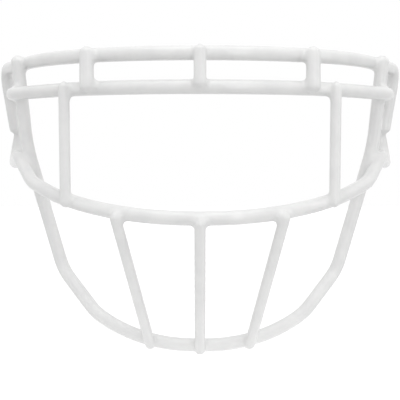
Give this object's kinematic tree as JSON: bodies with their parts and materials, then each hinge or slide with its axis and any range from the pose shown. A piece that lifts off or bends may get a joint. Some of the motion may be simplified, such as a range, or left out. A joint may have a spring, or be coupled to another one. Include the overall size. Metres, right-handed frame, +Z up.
{
  "type": "football helmet facemask",
  "caption": "White coated steel-wire face guard for a football helmet: two brow bars, nose bar, chin bar and welded struts.",
  "frame": {"origin": "middle of the upper brow bar, on the wire's centreline, where it rests on the front of the helmet shell", "axes": "+X to the right as seen from the front, +Y back towards the face, +Z up"},
  "size_m": [0.2338, 0.1201, 0.1557],
  "materials": {
    "steel_wire": "drawn wire",
    "polymer_coat": "satin white polymer"
  },
  "bodies": {
    "root": {"top_brow_bar": "steel_wire", "lower_brow_bar": "steel_wire", "nose_bar": "steel_wire", "chin_bar": "steel_wire", "centre_brow_strut": "steel_wire", "left_brow_strut": "steel_wire", "right_brow_strut": "steel_wire", "left_eye_strut": "steel_wire", "right_eye_strut": "steel_wire", "centre_chin_strut": "steel_wire", "left_chin_strut": "steel_wire", "right_chin_strut": "steel_wire", "polymer_coat": "polymer_coat"}
  },
  "joints": []
}
